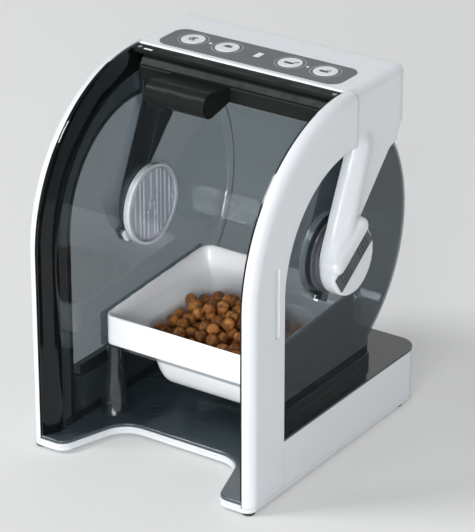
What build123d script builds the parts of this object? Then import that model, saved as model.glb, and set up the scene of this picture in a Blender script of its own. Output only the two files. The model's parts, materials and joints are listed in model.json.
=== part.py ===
from build123d import *
import math
import os

# Microchip pet feeder: a tunnel that the pet puts its head into, a lift-out bowl, and a clear
# barrier that turns about a cross axis from the rear of the tunnel, over the top, to its front.
# Millimetres. +X is the feeder's right seen from the front, +Y points to the rear, +Z is up.
# The origin is on the floor, below the middle of the body.

# ---- body ----
body_width = 250.0
body_depth = 294.0
foot_height = 3.0
base_top = 57.0
shell_wall = 2.5
parting_height = 7.5
parting_step = 0.4
rear_corner_radius = 20.0
rear_box_depth = 59.0
guard_overhang = 4.0

# ---- front limbs, and the arcs drawn about the cross axis that the barrier turns on ----
limb_outer_radius = 161.0
limb_upright = 36.0
limb_setback = 1.0
limb_depth = 53.5
limb_thickness = 10.8
limb_round = 9.8
slot_length = 70.0
slot_width = 6.4
slot_depth = 1.6
slot_inset = 12.0
slot_rise = 2.0
top_build_up = 25.0
barrier_clearance = 7.0

# ---- plan of the base between the limbs ----
notch_depth = 69.0
notch_half_width = 65.8
lobe_width = 37.1
notch_radius = 28.0
lobe_radius = 13.5
lip_width = 1.2
liner_thickness = 3.0

# ---- tunnel ----
panel_inset = 20.0
panel_wall = 2.0
flare_depth = 20.0
flare_overlap = 1.0
guard_corner = 8.0
guard_top_reach = 47.0
hub_hole_radius = 31.0
collar_height = 11.0
collar_wall = 1.6

# ---- top housing and arms, as distances from the cross axis, the top or the outside ----
housing_front_reach = 4.0
seam_reach = 10.0
housing_rear_reach = 103.0
housing_rear_height = 43.0
housing_round = 14.0
housing_plan_round = 16.0
arm_thickness = 12.2
strip_height = 6.0
cowl_inset = 17.5
cowl_wall = 2.6
cowl_start = 31.5
cowl_end = 52.0
crotch_drop = 4.5

# ---- pods on the ends of the arms; the ends stand out past the body's sides ----
pod_radius = 34.5
pod_wall = 3.0
pod_back_wall = 1.8
pod_ring_rise = 2.5
pod_cover_rise = 5.0
thumb_rise = 10.0
ridge_rise = 7.5
ridge_radius = 14.0
band_width = 19.0
band_length = 62.0
band_depth = 0.8
band_edge = 1.4
band_angle = 34.0
thumb_radius = 8.2
thumb_offset = 18.0
thumb_half_length = 20.0
thumb_wall = 1.6

# ---- control panel ----
label_width = 201.0
label_depth = 45.0
label_reach = 33.5
label_corner = 12.0
label_thickness = 0.4
button_radius = 11.75
button_rise = 0.9
button_travel = 0.8
button_x = (-73.5, -35.0, 35.0, 73.5)
button_reach = 36.0
light_x = 54.0
light_radius = 1.6
window_width = 6.0
window_depth = 11.0

# ---- ceiling and electronics ----
ceiling_wall = 2.0
ceiling_step_drop = 16.0
ceiling_step_depth = 14.0
bulge_drop = 23.0
bulge_depth = 49.0
bulge_radius = 12.4
bulge_x = (-64.0, 2.0)
core_radius = 4.0
board_drop = 12.9
board_width = 188.0
board_depth = 44.0
board_thickness = 1.6
switch_height = 3.3
switch_size = 6.0
stem_radius = 2.0

# ---- bowl and cradle ----
bowl_side_room = 15.0
bowl_front_reach = 94.0
bowl_rear_reach = 75.0
bowl_bottom_of_skirt = 90.0
bowl_front_rim = 121.0
bowl_rear_rim = 131.0
bowl_wall = 2.5
bowl_corner = 10.0
basin_round = 20.0
shelf_round = 9.0
rim_round = 6.0
shelf_inset = 25.0
shelf_straight = 19.5
basin_inset = 37.0
basin_straight = 9.5
basin_floor = 43.0
cradle_gap = 3.0
cradle_wall = 2.0
cradle_plate = 3.0
cradle_ledge = 15.0
cradle_hole_corner = 40.0
column_overhang = 0.0
column_top_radius = 7.5
column_foot_radius = 14.5
column_foot_height = 50.0
front_column_reach = 17.0
cradle_column_reach = 28.0
guard_column_reach = 26.0

# ---- barrier and hubs ----
barrier_side_room = 5.0
barrier_wall = 2.0
barrier_half_angle = 32.0
barrier_rim_round = 5.0
barrier_hub_radius = 44.0
ring_radius = 40.0
ring_wall = 3.0
ring_proud = 4.1
boss_radius = 24.0
boss_reach = 3.2
disc_proud = 6.0
disc_rib = 1.2
disc_inner_ring = 18.0
disc_bars = 6

# ---- drive in the left pod ----
gear_module = 0.8
hub_teeth = 36
small_teeth = 12
big_teeth = 26
pinion_teeth = 12
layer_thickness = 3.2
big_thickness = 2.6
motor_radius = 6.0
motor_length = 9.4
axle_radius = 1.5
shaft_radius = 1.0

# ---- batteries ----
cell_radius = 13.1
cell_length = 50.0
tray_side_room = 19.0
tray_wall = 1.6
tray_height = 30.0
contact_thickness = 0.8
contact_size = 16.0
door_side_room = 25.0
door_bottom = 14.0
door_top = 48.0

# ---- screws and feet ----
screw_radius = 1.6
screw_head_radius = 3.0
screw_head_height = 2.0
foot_radius = 6.0
foot_recess = 1.0
foot_inset_x = 7.4
front_foot_inset = 7.8
rear_foot_inset = 31.0
screw_front_reach = 18.0
screw_rear_reach = 12.0
liner_screw_inset = 8.8
liner_screw_front_reach = 40.0
liner_screw_rear_reach = 22.0

# ---- clearances ----
face_gap = 0.1
fit_gap = 0.05
slide_gap = 0.3
sweep_gap = 2.5

# ---- worked out from the sizes above ----
half_width = body_width / 2
body_front_y = -(body_depth + guard_overhang) / 2
rear_y = body_front_y + body_depth
hub_y = body_front_y + limb_setback + limb_outer_radius
hub_z = limb_upright + limb_outer_radius
guard_radius = limb_outer_radius - top_build_up
barrier_radius = guard_radius - barrier_clearance
limb_inner_x = half_width - limb_thickness
limb_inner_radius = limb_outer_radius - limb_depth
limb_front_y = hub_y - limb_outer_radius
limb_rear_y = hub_y - limb_inner_radius
notch_front_y = body_front_y + notch_depth
lobe_inner_x = half_width - lobe_width
top_z = hub_z + limb_outer_radius
floor_z = parting_height + shell_wall
liner_top = floor_z + liner_thickness
panel_x = half_width - panel_inset
panel_inner_x = panel_x - panel_wall
guard_foot_y = rear_y - rear_box_depth
guard_top_y = hub_y + guard_top_reach
housing_front_y = hub_y + housing_front_reach
seam_y = hub_y + seam_reach
housing_rear_y = hub_y + housing_rear_reach
housing_rear_bottom = top_z - housing_rear_height
housing_under = top_z - shell_wall
cheek_inner_x = half_width - arm_thickness
cowl_half_width = half_width - cowl_inset
pod_ring_end = half_width + pod_ring_rise
pod_cover_end = half_width + pod_cover_rise
thumb_top = half_width + thumb_rise
ridge_top = half_width + ridge_rise
label_centre_y = hub_y + label_reach
button_y = hub_y + button_reach
board_top = top_z - board_drop
bowl_half_width = panel_inner_x - bowl_side_room
bowl_front_y = hub_y - bowl_front_reach
bowl_rear_y = hub_y + bowl_rear_reach
bowl_shorter_half = min(bowl_half_width, (bowl_rear_y - bowl_front_y) / 2)
# inset from the bowl's outside, corner radius and height of the hollow, from above the rim down
bowl_sections = ((3.2, 7.0, 140.0), (4.2, 8.0, 118.0), (12.0, 14.0, 108.0),
                 (shelf_inset, bowl_shorter_half - shelf_inset - shelf_straight, 102.0),
                 (basin_inset, bowl_shorter_half - basin_inset - basin_straight, basin_floor))
column_x = bowl_half_width + column_overhang
column_y = (bowl_front_y + front_column_reach,
            min(bowl_rear_y - cradle_column_reach, guard_foot_y - guard_column_reach))
barrier_half_width = panel_x - barrier_side_room
ring_inner_x = barrier_half_width - ring_proud
disc_face_x = barrier_half_width - disc_proud
boss_end_x = cheek_inner_x + boss_reach
outside_reach = body_width + body_depth + top_z


def around_hub(radius, degrees):
    """The (y, z) point at a radius and an angle about the cross axis, 0 at the rear, 90 at the top."""
    angle = math.radians(degrees)
    return hub_y + radius * math.cos(angle), hub_z + radius * math.sin(angle)


def side_plate(outline, x_start, x_end):
    """A solid whose outline is drawn in (y, z), between two x planes."""
    return extrude(Plane.YZ.offset(x_start) * outline, amount=x_end - x_start, dir=(1, 0, 0))


def flat_plate(outline, z_start, z_end):
    """A solid whose outline is drawn in plan, between two heights."""
    return extrude(Pos(0, 0, z_start) * outline, amount=z_end - z_start, dir=(0, 0, 1))


def block(x_start, x_end, y_start, y_end, z_start, z_end):
    """A box between two corners."""
    centre = Pos((x_start + x_end) / 2, (y_start + y_end) / 2, (z_start + z_end) / 2)
    return centre * Box(x_end - x_start, y_end - y_start, z_end - z_start)


def cross_cylinder(radius, x_start, x_end, y=hub_y, z=hub_z):
    """A cylinder along X, on the cross axis unless another place is given."""
    return side_plate(Pos(y, z) * Circle(radius), x_start, x_end)


def cross_ring(outer, inner, x_start, x_end):
    """A ring along X on the cross axis."""
    return side_plate(Pos(hub_y, hub_z) * (Circle(outer) - Circle(inner)), x_start, x_end)


def post(radius, x, y, z_start, z_end):
    """An upright cylinder."""
    return flat_plate(Pos(x, y) * Circle(radius), z_start, z_end)


def polygon(*points):
    """A face from the corners of its outline."""
    return make_face(Polyline(*points, close=True))


def left(solid):
    """The left-hand twin of a right-hand piece."""
    return mirror(solid, about=Plane.YZ)


def both_sides(solid):
    """A right-hand piece and its left-hand twin."""
    return solid, left(solid)


# ---------------------------------------------------------------- base

def base_outline():
    """Plan of the base: two front lobes with a notch between them, and round corners."""
    face = polygon(
        (-half_width, rear_y), (-half_width, body_front_y), (-lobe_inner_x, body_front_y),
        (-notch_half_width, notch_front_y), (notch_half_width, notch_front_y),
        (lobe_inner_x, body_front_y), (half_width, body_front_y), (half_width, rear_y))
    for x_abs, y, radius in (
            (half_width, rear_y, rear_corner_radius), (half_width, body_front_y, limb_round),
            (lobe_inner_x, body_front_y, lobe_radius), (notch_half_width, notch_front_y, notch_radius)):
        corners = [v for v in face.vertices() if abs(abs(v.X) - x_abs) < 0.01 and abs(v.Y - y) < 0.01]
        face = fillet(corners, radius)
    return face


divider_y = guard_foot_y + face_gap
bay_front_y = divider_y + shell_wall
door_half_width = half_width - door_side_room


def four_places(x, front_y, back_y):
    """The plan places of four like pieces, two at the front and two at the rear."""
    return ((-x, front_y), (x, front_y), (-x, back_y), (x, back_y))


foot_places = four_places(half_width - foot_inset_x, body_front_y + front_foot_inset,
                          rear_y - rear_foot_inset)
screw_places = four_places(door_half_width, notch_front_y + screw_front_reach,
                           guard_foot_y - screw_rear_reach)
liner_screw_places = four_places(notch_half_width - liner_screw_inset,
                                 notch_front_y + liner_screw_front_reach,
                                 guard_foot_y - liner_screw_rear_reach)


def base_shell():
    outline = base_outline()
    shell = flat_plate(outline, parting_height, base_top - panel_wall)
    shell -= flat_plate(offset(outline, -shell_wall), floor_z, base_top)
    tall = base_top + 1
    shell -= block(-half_width - 1, half_width + 1, body_front_y - 1, limb_rear_y, floor_z, tall)
    shell -= block(-limb_inner_x, limb_inner_x, body_front_y - 1, notch_front_y + 2 * shell_wall,
                   floor_z, tall)
    for side in (-1, 1):
        inner, outer = sorted((side * limb_inner_x, side * (half_width + 1)))
        shell -= block(inner, outer, body_front_y - 1, limb_rear_y, 0, tall)
    shell += block(-half_width + shell_wall, half_width - shell_wall, divider_y, bay_front_y,
                   floor_z, base_top - panel_wall)
    shell -= block(-door_half_width, door_half_width, rear_y - 2 * shell_wall, rear_y + 1,
                   door_bottom, door_top)
    for x, y in screw_places:
        shell -= post(screw_radius, x, y, 0, floor_z + 1)
    return shell


def base_plate():
    plate = flat_plate(offset(base_outline(), -parting_step), foot_height, parting_height)
    for x, y in foot_places:
        plate -= post(foot_radius + face_gap, x, y, 0, foot_height + foot_recess)
    for x, y in screw_places:
        plate -= post(screw_radius, x, y, 0, base_top)
        plate -= post(screw_head_radius + face_gap, x, y, 0, foot_height + screw_head_height)
    return plate


def rubber_feet():
    feet = [post(foot_radius, x, y, 0, foot_height + foot_recess) for x, y in foot_places]
    return Compound(children=[fillet(f.edges().group_by(Axis.Z)[0], 1.0) for f in feet])


def base_screws():
    head_top = foot_height + screw_head_height
    return Compound(children=[
        post(screw_head_radius, x, y, head_top - 1.6, head_top)
        + post(screw_radius - fit_gap, x, y, head_top, floor_z) for x, y in screw_places])


def floor_liner():
    room = Pos(0, (body_front_y + guard_foot_y) / 2) * Rectangle(
        2 * limb_inner_x - 2 * slide_gap, guard_foot_y - body_front_y)
    liner = flat_plate(offset(base_outline(), -lip_width) & room, floor_z, liner_top)
    liner = fillet(liner.edges().group_by(Axis.Z)[-1], 1.2)
    for x, y in liner_screw_places:
        liner -= post(screw_head_radius + face_gap, x, y, liner_top - screw_head_height, liner_top + 1)
    return liner


def liner_screws():
    low = liner_top - screw_head_height
    screws = []
    for x, y in liner_screw_places:
        head = post(screw_head_radius, x, y, low, low + 1.4)
        slot = Pos(x, y, low + 1.4) * (Box(3.4, 0.8, 1.0) + Box(0.8, 3.4, 1.0))
        screws.append(head - slot)
    return Compound(children=screws)


def top_plate():
    """Gloss ledge beside the tunnel and over the rear box, with a collar round the tunnel's foot."""
    plate = flat_plate(base_outline(), base_top - panel_wall, base_top)
    plate -= block(-half_width - 1, half_width + 1, body_front_y - 1, limb_rear_y, 0, base_top + 1)
    room_x = panel_x + face_gap
    room = Pos(0, (body_front_y + divider_y) / 2) * Rectangle(2 * room_x, divider_y - body_front_y)
    room = fillet([v for v in room.vertices() if v.Y > 0], guard_corner)
    collar_top = base_top + collar_height
    collar = flat_plate(offset(room, collar_wall), base_top - panel_wall, collar_top)
    collar -= block(-half_width, half_width, body_front_y - 5, limb_rear_y, 0, collar_top + 1)
    plate = plate + collar
    return plate - flat_plate(room, 0, collar_top + 1)


# ---------------------------------------------------------------- limbs and tunnel

def limb_outline():
    """Side view of a front limb: upright from the floor, then an arc over to the top housing."""
    crotch_z = hub_z + math.sqrt(limb_inner_radius ** 2 - (seam_y - hub_y) ** 2)
    crotch_angle = math.degrees(math.atan2(crotch_z - hub_z, seam_y - hub_y))
    return make_face([
        Line((limb_front_y, parting_height), (limb_front_y, hub_z)),
        CenterArc((hub_y, hub_z), limb_outer_radius, 180, -90),
        Line((hub_y, top_z), (seam_y, top_z)),
        Line((seam_y, top_z), (seam_y, crotch_z)),
        CenterArc((hub_y, hub_z), limb_inner_radius, crotch_angle, 180 - crotch_angle),
        Line((limb_rear_y, hub_z), (limb_rear_y, parting_height)),
        Line((limb_rear_y, parting_height), (limb_front_y, parting_height))])


def right_limb():
    outline = limb_outline()
    limb = side_plate(outline, limb_inner_x, half_width)
    outer = limb.faces().sort_by(Axis.X)[-1]
    front = [e for e in outer.edges()
             if min(abs(e.center().Y - limb_front_y), abs(e.center().Z - top_z)) < 1.0
             or (e.geom_type == GeomType.CIRCLE and e.radius > limb_inner_radius + 1)]
    limb = fillet(front, limb_round)
    room = offset(outline, -5.0)
    limb -= side_plate(room, limb_inner_x - 1, half_width - 3.5)
    place = Pos(limb_rear_y - slot_inset, hub_z + slot_rise) * Rot(0, 0, 90)
    limb -= side_plate(place * SlotOverall(slot_length, slot_width),
                       half_width - slot_depth, half_width + 1)
    return limb


def trim_edge(shift):
    """One edge of the flare's cross section, moved along X, with hub height still to be added."""
    reach = limb_outer_radius - flare_overlap
    return Spline((limb_inner_x - face_gap + shift, hub_y - reach),
                  (panel_x + shift, hub_y - reach + flare_depth), tangents=((-0.25, 1.0), (0.0, 1.0)))


def sweep_flare(section):
    """Take a cross section up the front from the floor liner and over to the top housing."""
    section = Pos(0, 0, hub_z) * section
    upright = extrude(section, amount=hub_z - liner_top, dir=(0, 0, -1))
    turn = 90 + math.degrees((housing_front_y - hub_y) / limb_outer_radius)
    return upright + revolve(section, axis=Axis((0, hub_y, hub_z), (-1, 0, 0)), revolution_arc=turn)


def right_trim():
    """Flared edge that joins the tunnel's side wall to the limb, round the whole front."""
    skin = trim_edge(0)
    back = trim_edge(-panel_wall)
    return sweep_flare(make_face([skin, Line(skin @ 0, back @ 0), back, Line(skin @ 1, back @ 1)]))


def outside_of_flare():
    """Everything on the right that a piece inside the tunnel has to keep clear of."""
    near = trim_edge(-panel_wall - slide_gap)
    far = half_width
    return sweep_flare(make_face([
        near, Line(near @ 0, (far, (near @ 0).Y)), Line((far, (near @ 0).Y), (far, (near @ 1).Y)),
        Line((far, (near @ 1).Y), near @ 1)]))


def tunnel_outline(front, top, radius, foot, bottom):
    """Side view of the smoke tunnel: upright rear foot, round guard, open or arched front."""
    end = math.degrees(math.acos((foot - hub_y) / radius))
    top_angle = math.degrees(math.acos((guard_top_y - hub_y) / radius))
    foot_z = hub_z - radius * math.sin(math.radians(end))
    crown = hub_z + radius * math.sin(math.radians(top_angle))
    return [
        Line((guard_top_y, top), (guard_top_y, crown)),
        CenterArc((hub_y, hub_z), radius, top_angle, -(top_angle + end)),
        Line((foot, foot_z), (foot, bottom)),
        Line((foot, bottom), (front, bottom))]


def smoke_tunnel():
    """Side walls and round rear guard as one skin, before it is cut into its three panels."""
    arch = limb_outer_radius - flare_overlap - flare_depth - fit_gap
    front = hub_y - arch
    outer_edges = tunnel_outline(front, hub_z + arch, guard_radius, guard_foot_y, liner_top) + [
        Line((front, liner_top), (front, hub_z)),
        CenterArc((hub_y, hub_z), arch, 180, -90),
        Line((hub_y, hub_z + arch), (guard_top_y, hub_z + arch))]
    outer = side_plate(make_face(outer_edges), -panel_x, panel_x)
    outer = fillet(rear_edges(outer, panel_x), guard_corner)
    inner_radius = guard_radius - panel_wall
    inner_foot = guard_foot_y - panel_wall
    far_front = front - flare_depth
    inner_edges = tunnel_outline(far_front, top_z, inner_radius, inner_foot, 0) + [
        Line((far_front, 0), (far_front, top_z)),
        Line((far_front, top_z), (guard_top_y, top_z))]
    inner = side_plate(make_face(inner_edges), -panel_inner_x, panel_inner_x)
    inner = fillet(rear_edges(inner, panel_inner_x), guard_corner - panel_wall)
    return outer - inner


def rear_edges(solid, x):
    """Both long edges round the rear of the tunnel, at this distance either side of the middle."""
    return [e for e in solid.edges() if abs(abs(e.center().X) - x) < 0.01 and e.center().Y > guard_top_y + 1]


def tunnel_panels():
    """Right side panel, left side panel and the guard between them."""
    skin = smoke_tunnel()
    split = panel_x - guard_corner - panel_wall
    side = skin & block(split, half_width, -outside_reach, outside_reach, 0, outside_reach)
    side -= cross_cylinder(hub_hole_radius, split, half_width)
    guard = skin & block(-split, split, -outside_reach, outside_reach, 0, outside_reach)
    return side - tab_slot("right"), left(side) - tab_slot("left"), guard


# ---------------------------------------------------------------- top housing, arms and pods

def from_hub(*offsets):
    """The (y, z) points at these offsets from the cross axis."""
    return tuple((hub_y + y, hub_z + z) for y, z in offsets)


crotch_z = hub_z + limb_inner_radius - crotch_drop
arm_front = ((seam_y, crotch_z), *from_hub((2.3, 85.0), (-10.5, 60.0), (-26.6, 26.0)))
arm_foot = from_hub((23.0, 3.0), (-31.0, 9.0))
arm_rear = from_hub((87.0, 98.0), (85.0, 89.0), (71.0, 84.0), (19.0, 30.0))
ridge_ends = from_hub((29.0, 95.0), (-12.0, 19.0))


def cheek_outline():
    """Side view of the top housing with its arm, down to the pod."""
    face = polygon(
        (seam_y, top_z), (housing_rear_y, top_z), (housing_rear_y, housing_rear_bottom),
        *arm_rear, *arm_foot, *reversed(arm_front))
    corner = [v for v in face.vertices() if abs(v.X - housing_rear_y) < 0.01 and abs(v.Y - top_z) < 0.01]
    return fillet(corner, housing_round)


def rounded_top_envelope():
    """The housing's outer limits seen from the front and from above, with their round corners."""
    face = Rectangle(body_width, 2 * top_z)
    tall = [v for v in face.vertices() if v.Y > 0]
    face = fillet(tall, limb_round)
    from_front = extrude(Plane.XZ.offset(-outside_reach) * face, amount=2 * outside_reach, dir=(0, -1, 0))
    plan = Pos(0, housing_rear_y - body_depth / 2) * Rectangle(body_width, body_depth)
    rear = [v for v in plan.vertices() if abs(v.Y - housing_rear_y) < 0.01]
    return from_front & flat_plate(fillet(rear, housing_plan_round), 0, outside_reach)


board_y = label_centre_y + 1.5
board_post_radius = 3.0
board_posts = four_places(board_width / 2 - 6.0, board_y - board_depth / 2 + 4.0,
                          board_y + board_depth / 2 - 4.0)


def arm_ridge():
    """Rounded ridge that runs down the arm's outer face on to the pod."""
    upper, lower = [Vector(ridge_top - ridge_radius, y, z) for y, z in ridge_ends]
    span = lower - upper
    body = Solid.make_cylinder(ridge_radius, span.length, Plane(origin=upper, z_dir=span))
    ridge = body + Pos(*upper) * Sphere(ridge_radius) + Pos(*lower) * Sphere(ridge_radius)
    return ridge & block(cheek_inner_x, body_width, -outside_reach, outside_reach, 0, outside_reach)


def top_housing():
    housing = side_plate(cheek_outline(), -half_width, half_width) & rounded_top_envelope()
    housing -= block(-cheek_inner_x, cheek_inner_x, -outside_reach, housing_rear_y - shell_wall,
                     0, housing_under)
    housing -= block(-cheek_inner_x, cheek_inner_x, -outside_reach, housing_rear_y + 1,
                     0, housing_rear_bottom)
    pocket = block(cheek_inner_x - 1, half_width - shell_wall, seam_y + 8, housing_rear_y - 10,
                   housing_rear_bottom + 4, housing_under - 6)
    ridge = arm_ridge()
    pod = cross_cylinder(pod_radius, cheek_inner_x, pod_ring_end)
    room = cross_cylinder(pod_radius - pod_wall, cheek_inner_x + pod_back_wall, body_width)
    room += cross_cylinder(boss_radius + 2 * slide_gap, 0, ridge_top)
    cover_room = cross_cylinder(pod_radius + slide_gap, pod_ring_end, body_width)
    for piece in both_sides(ridge):
        housing += piece
    for piece in both_sides(pod):
        housing += piece
    for piece in both_sides(pocket) + both_sides(room) + both_sides(cover_room):
        housing -= piece
    housing += block(-limb_inner_x + face_gap, limb_inner_x - face_gap, housing_front_y, seam_y,
                     top_z - strip_height, top_z)
    cowl_face = make_face([
        CenterArc((hub_y, hub_z), guard_radius + slide_gap, cowl_start, cowl_end - cowl_start),
        Line(around_hub(guard_radius + slide_gap, cowl_end), around_hub(guard_radius + cowl_wall, cowl_end)),
        CenterArc((hub_y, hub_z), guard_radius + cowl_wall, cowl_start, cowl_end - cowl_start),
        Line(around_hub(guard_radius + slide_gap, cowl_start),
             around_hub(guard_radius + cowl_wall, cowl_start))])
    cowl = side_plate(cowl_face, -cowl_half_width, cowl_half_width)
    web_foot = hub_z + math.sqrt((guard_radius + cowl_wall / 2) ** 2 - housing_rear_reach ** 2)
    web = block(-cowl_half_width, cowl_half_width, housing_rear_y - shell_wall, housing_rear_y,
                web_foot, housing_rear_bottom + 2)
    web -= cross_cylinder(guard_radius + slide_gap, -half_width, half_width)
    housing += cowl + web
    for x, y in board_posts:
        housing += post(board_post_radius, x, y, board_top, housing_under + shell_wall / 2)
    for x in button_x:
        housing -= post(button_radius + slide_gap, x, button_y, housing_under - 1, top_z + 1)
    for x in (-light_x, light_x):
        housing -= post(light_radius + face_gap, x, button_y, housing_under - 1, top_z + 1)
    housing -= block(-window_width / 2 - face_gap, window_width / 2 + face_gap,
                     button_y - window_depth / 2 - face_gap, button_y + window_depth / 2 + face_gap,
                     housing_under - 1, top_z + 1)
    return housing


def band_place(x):
    """A plane on the pod's face, turned so that its X runs along the diagonal band."""
    angle = math.radians(band_angle)
    return Plane(origin=(x, hub_y, hub_z), x_dir=(0, math.cos(angle), math.sin(angle)), z_dir=(1, 0, 0))


def thumb_outline(radius):
    return Pos(0, thumb_offset) * SlotCenterToCenter(2 * thumb_half_length, 2 * radius)


def whole_pod(radius):
    """A cylinder of this radius through the whole right-hand pod."""
    return cross_cylinder(radius, cheek_inner_x, body_width)


def pod_cover():
    """Round cover of the pod with a raised thumb grip beside the band."""
    cover = cross_cylinder(pod_radius, pod_ring_end + fit_gap, pod_cover_end)
    cover = fillet(cover.edges().sort_by(Axis.X)[-1], 1.5)
    thumb = extrude(band_place(pod_cover_end - 1) * thumb_outline(thumb_radius),
                    amount=thumb_top - pod_cover_end + 1, dir=(1, 0, 0))
    thumb = fillet(thumb.edges().group_by(Axis.X)[-1], 3.4)
    cover += thumb
    cover -= extrude(band_place(pod_cover_end - band_depth) * Rectangle(band_length, band_width),
                     amount=band_depth, dir=(1, 0, 0)) & whole_pod(pod_radius - band_edge)
    hollow = extrude(band_place(pod_ring_end - 1) * thumb_outline(thumb_radius - thumb_wall),
                     amount=thumb_top - thumb_wall - pod_ring_end + 1, dir=(1, 0, 0))
    return cover - (hollow & whole_pod(pod_radius - pod_wall))


def pod_grille():
    """Diagonal dark band with two groups of short slots."""
    plate = extrude(band_place(pod_cover_end - band_depth + fit_gap)
                    * Rectangle(band_length - 2 * face_gap, band_width - 2 * face_gap),
                    amount=band_depth + face_gap, dir=(1, 0, 0))
    plate &= whole_pod(pod_radius - band_edge - face_gap)
    slots = []
    for end in (-1, 1):
        for row in range(3):
            for step in range(5):
                along = end * (9.0 + 3.6 * step)
                slots.append(Pos(along, -5.4 + 5.4 * row) * Rectangle(1.5, 4.2))
    for outline in slots:
        plate -= extrude(band_place(pod_cover_end - 0.3) * outline, amount=2, dir=(1, 0, 0))
    return plate


def hub_bush():
    """Bearing sleeve between the tunnel's side panel and the pod."""
    bush = cross_ring(hub_hole_radius - face_gap, boss_radius + fit_gap, panel_inner_x + face_gap,
                      cheek_inner_x - fit_gap)
    return bush + cross_ring(hub_hole_radius + 5, hub_hole_radius - 2, panel_x + fit_gap, panel_x + 2)


# ---------------------------------------------------------------- ceiling and electronics

ceiling_half_width = panel_inner_x - slide_gap
ceiling_radius = barrier_radius + sweep_gap
ceiling_step_y = housing_front_y - ceiling_step_depth
ceiling_step_z = top_z - ceiling_step_drop
ceiling_rear_y = guard_top_y - 5.0
bulge_y = housing_front_y - bulge_depth
bulge_z = top_z - bulge_drop
corner_screw_x = half_width - 17.5
flange_rear_y = hub_y - 8.0


def ceiling_edge(radius, y):
    """Height of the ceiling's round underside at a place along the tunnel."""
    return hub_z + math.sqrt(radius ** 2 - (y - hub_y) ** 2)


def ceiling_cover():
    """Gloss tray that closes the tunnel's top, with the rounded reader housing on its left."""
    inner_radius = ceiling_radius + ceiling_wall
    front = housing_front_y - face_gap
    tray_top = hub_z + limb_outer_radius - flare_depth - 2.0
    outer = make_face([
        Line((front, top_z - 1.5), (ceiling_step_y, ceiling_step_z)),
        Line((ceiling_step_y, ceiling_step_z),
             (ceiling_step_y, ceiling_edge(ceiling_radius, ceiling_step_y))),
        ThreePointArc((ceiling_step_y, ceiling_edge(ceiling_radius, ceiling_step_y)),
                      (hub_y + 15, ceiling_edge(ceiling_radius, hub_y + 15)),
                      (ceiling_rear_y, ceiling_edge(ceiling_radius, ceiling_rear_y))),
        Line((ceiling_rear_y, ceiling_edge(ceiling_radius, ceiling_rear_y)), (ceiling_rear_y, tray_top)),
        Line((ceiling_rear_y, tray_top), (front, tray_top)),
        Line((front, tray_top), (front, top_z - 1.5))])
    tray = side_plate(outer, -ceiling_half_width, ceiling_half_width)
    low = ceiling_step_y + ceiling_wall
    rear = ceiling_rear_y - ceiling_wall
    room = make_face([
        Line((front + 1, tray_top + 6), (low, ceiling_step_z - 2)),
        Line((low, ceiling_step_z - 2), (low, ceiling_edge(inner_radius, low))),
        ThreePointArc((low, ceiling_edge(inner_radius, low)),
                      (hub_y + 15, ceiling_edge(inner_radius, hub_y + 15)),
                      (rear, ceiling_edge(inner_radius, rear))),
        Line((rear, ceiling_edge(inner_radius, rear)), (rear, tray_top + 6)),
        Line((rear, tray_top + 6), (front + 1, tray_top + 6))])
    tray -= side_plate(room, -ceiling_half_width + ceiling_wall, ceiling_half_width - ceiling_wall)
    flange = side_plate(polygon((front, top_z - 1.5), (front, top_z - 5.0), (flange_rear_y, top_z - 5.6),
                                (flange_rear_y, top_z - 2.1)), -limb_inner_x, limb_inner_x)
    bulge_shape = make_hull([*(Pos(bulge_y, bulge_z) * Circle(bulge_radius)).edges(),
                             Line((ceiling_step_y, ceiling_step_z), (ceiling_step_y, ceiling_step_z - 12))])
    bulge = side_plate(bulge_shape, *bulge_x)
    cover = tray + flange + bulge
    for outside in both_sides(outside_of_flare()):
        cover -= outside
    cover -= cross_cylinder(bulge_radius - ceiling_wall, bulge_x[0] + ceiling_wall,
                            bulge_x[1] - ceiling_wall, bulge_y, bulge_z)
    for side in (-1, 1):
        cover -= Pos(side * corner_screw_x, hub_y - 2, top_z - 2) * Cylinder(2.3, 2.6)
    return cover


def ceiling_screws():
    return Compound(children=[
        Pos(side * corner_screw_x, hub_y - 2, top_z - 2.6) * Cylinder(2.2, 1.4) for side in (-1, 1)])


def sensor_window():
    """Small light window in the ceiling's front left corner."""
    return block(-corner_screw_x + 7.0, -corner_screw_x + 16.0, hub_y - 6.0, hub_y - 4.0,
                 top_z - 1.9, top_z - 1.3)


def antenna_core():
    end_gap = ceiling_wall + face_gap
    return cross_cylinder(core_radius, bulge_x[0] + end_gap, bulge_x[1] - end_gap, bulge_y, bulge_z)


def antenna_winding():
    bore = cross_cylinder(core_radius + fit_gap, bulge_x[0], bulge_x[1], bulge_y, bulge_z)
    body = cross_cylinder(bulge_radius - ceiling_wall - face_gap, bulge_x[0] + 10, bulge_x[1] - 10,
                          bulge_y, bulge_z)
    return body - bore


flange_radius = button_radius + 1.4


def control_label():
    face = Pos(0, label_centre_y) * Rectangle(label_width, label_depth)
    label = flat_plate(fillet(face.vertices(), label_corner), top_z, top_z + label_thickness)
    for x in button_x:
        label -= post(button_radius + slide_gap, x, button_y, top_z - 1, top_z + 1)
    for x in (-light_x, light_x):
        label -= post(light_radius + face_gap, x, button_y, top_z - 1, top_z + 1)
    label -= block(-window_width / 2 - face_gap, window_width / 2 + face_gap,
                   button_y - window_depth / 2 - face_gap, button_y + window_depth / 2 + face_gap,
                   top_z - 1, top_z + 1)
    return label


def push_button(x):
    cap = post(button_radius, x, button_y, housing_under - 2, top_z + button_rise)
    cap = fillet(cap.edges().group_by(Axis.Z)[-1], 0.7)
    flange = post(flange_radius, x, button_y, housing_under - 2, housing_under - slide_gap)
    stem = post(stem_radius, x, button_y, board_top + switch_height + button_travel + 0.2,
                housing_under - 2)
    return cap + flange + stem


def main_board():
    outline = Pos(0, board_y) * Rectangle(board_width, board_depth)
    return flat_plate(outline, board_top - board_thickness, board_top)


def button_switches():
    return Compound(children=[
        Pos(x, button_y, board_top + switch_height / 2) * Box(switch_size, switch_size, switch_height)
        for x in button_x])


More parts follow.
